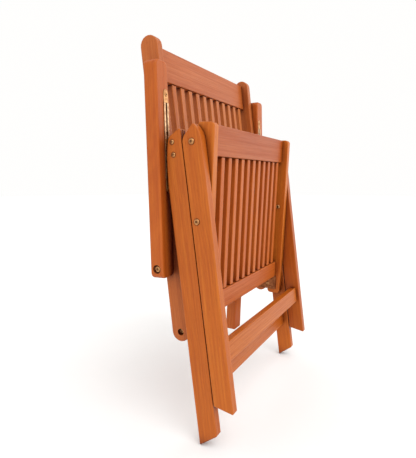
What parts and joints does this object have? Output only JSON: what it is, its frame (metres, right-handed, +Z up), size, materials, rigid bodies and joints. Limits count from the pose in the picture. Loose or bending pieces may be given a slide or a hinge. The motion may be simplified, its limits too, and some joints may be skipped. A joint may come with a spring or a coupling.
{
  "type": "folding reclining garden armchair",
  "caption": "Folding five-position hardwood garden armchair with slatted seat and back, arms on brass tracks, shown folded flat.",
  "frame": {"origin": "middle of the bounding box in plan, on the plane under the rear legs' feet, folded", "axes": "+Z up with the chair folded upright, +Y to the chair's back, +X to the sitter's left"},
  "size_m": [0.643, 0.2463, 0.9228],
  "materials": {
    "hardwood": "satin oiled",
    "brass": "satin"
  },
  "bodies": {
    "front_leg_frame": {"front_leg_l": "hardwood", "front_leg_r": "hardwood", "front_leg_stretcher": "hardwood", "leg_pivot_bolt_l": "brass", "leg_pivot_bolt_r": "brass", "seat_pivot_bolt_l": "brass", "seat_pivot_bolt_r": "brass"},
    "rear_leg_frame": {"rear_leg_l": "hardwood", "rear_leg_r": "hardwood", "rear_leg_stretcher": "hardwood", "pivot_plate_l": "brass", "pivot_plate_r": "brass", "plate_screw_1_l": "brass", "plate_screw_1_r": "brass", "plate_screw_2_l": "brass", "plate_screw_2_r": "brass"},
    "seat": {"seat_side_rail_l": "hardwood", "seat_side_rail_r": "hardwood", "seat_front_rail": "hardwood", "seat_rear_rail": "hardwood", "seat_centre_block": "hardwood", "hinge_strap_l": "brass", "hinge_strap_r": "brass", "seat_slat_01": "hardwood", "seat_slat_02": "hardwood", "seat_slat_03": "hardwood", "seat_slat_04": "hardwood", "seat_slat_05": "hardwood", "seat_slat_06": "hardwood", "seat_slat_07": "hardwood", "seat_slat_08": "hardwood", "seat_slat_09": "hardwood", "seat_slat_10": "hardwood", "seat_slat_11": "hardwood", "seat_slat_12": "hardwood"},
    "back_hinge": {"back_pivot_bolt_l": "brass", "back_pivot_bolt_r": "brass"},
    "back": {"back_stile_l": "hardwood", "back_stile_r": "hardwood", "back_top_rail": "hardwood", "back_bottom_rail": "hardwood", "back_slat_01": "hardwood", "back_slat_02": "hardwood", "back_slat_03": "hardwood", "back_slat_04": "hardwood", "back_slat_05": "hardwood", "back_slat_06": "hardwood", "back_slat_07": "hardwood", "back_slat_08": "hardwood", "back_slat_09": "hardwood", "back_slat_10": "hardwood", "back_slat_11": "hardwood", "back_slat_12": "hardwood"},
    "arm_pivot_l": {"arm_pivot_bolt_l": "brass"},
    "arm_pivot_r": {"arm_pivot_bolt_r": "brass"},
    "arm_l": {"arm_l": "hardwood", "arm_track_l": "brass"},
    "arm_r": {"arm_r": "hardwood", "arm_track_r": "brass"}
  },
  "joints": [
    {"name": "unfold", "type": "hinge", "parent": "front_leg_frame", "child": "rear_leg_frame", "pos_m": [0, -0.0225, 0.6833], "axis": [1, 0, 0], "range_deg": [0, 47.5]},
    {"name": "seat_swing", "type": "hinge", "parent": "front_leg_frame", "child": "seat", "pos_m": [0, -0.035, 0.5123], "axis": [1, 0, 0], "range_deg": [0, 97]},
    {"name": "back_fold", "type": "hinge", "parent": "seat", "child": "back_hinge", "pos_m": [0, 0.023, 0.2487], "axis": [1, 0, 0], "range_deg": [-101, 0]},
    {"name": "recline", "type": "hinge", "parent": "back_hinge", "child": "back", "pos_m": [0, 0.023, 0.2487], "axis": [-1, 0, 0], "range_deg": [0, 24]},
    {"name": "arm_level_l", "type": "hinge", "parent": "back", "child": "arm_pivot_l", "pos_m": [0.2985, 0.0555, 0.4033], "axis": [1, 0, 0], "range_deg": [0, 19]},
    {"name": "arm_fold_l", "type": "hinge", "parent": "arm_pivot_l", "child": "arm_l", "pos_m": [0.2985, 0.0555, 0.4033], "axis": [1, 0, 0], "range_deg": [0, 97]},
    {"name": "arm_level_r", "type": "hinge", "parent": "back", "child": "arm_pivot_r", "pos_m": [-0.2985, 0.0555, 0.4033], "axis": [1, 0, 0], "range_deg": [0, 19]},
    {"name": "arm_fold_r", "type": "hinge", "parent": "arm_pivot_r", "child": "arm_r", "pos_m": [-0.2985, 0.0555, 0.4033], "axis": [1, 0, 0], "range_deg": [0, 97]}
  ],
  "couplings": [
    {"joint": "seat_swing", "follows": "unfold", "ratio": 2.0337},
    {"joint": "back_fold", "follows": "unfold", "ratio": -2.1221},
    {"joint": "arm_level_l", "follows": "recline", "ratio": 0.765},
    {"joint": "arm_fold_l", "follows": "unfold", "ratio": 2.012},
    {"joint": "arm_level_r", "follows": "recline", "ratio": 0.765},
    {"joint": "arm_fold_r", "follows": "unfold", "ratio": 2.012}
  ]
}
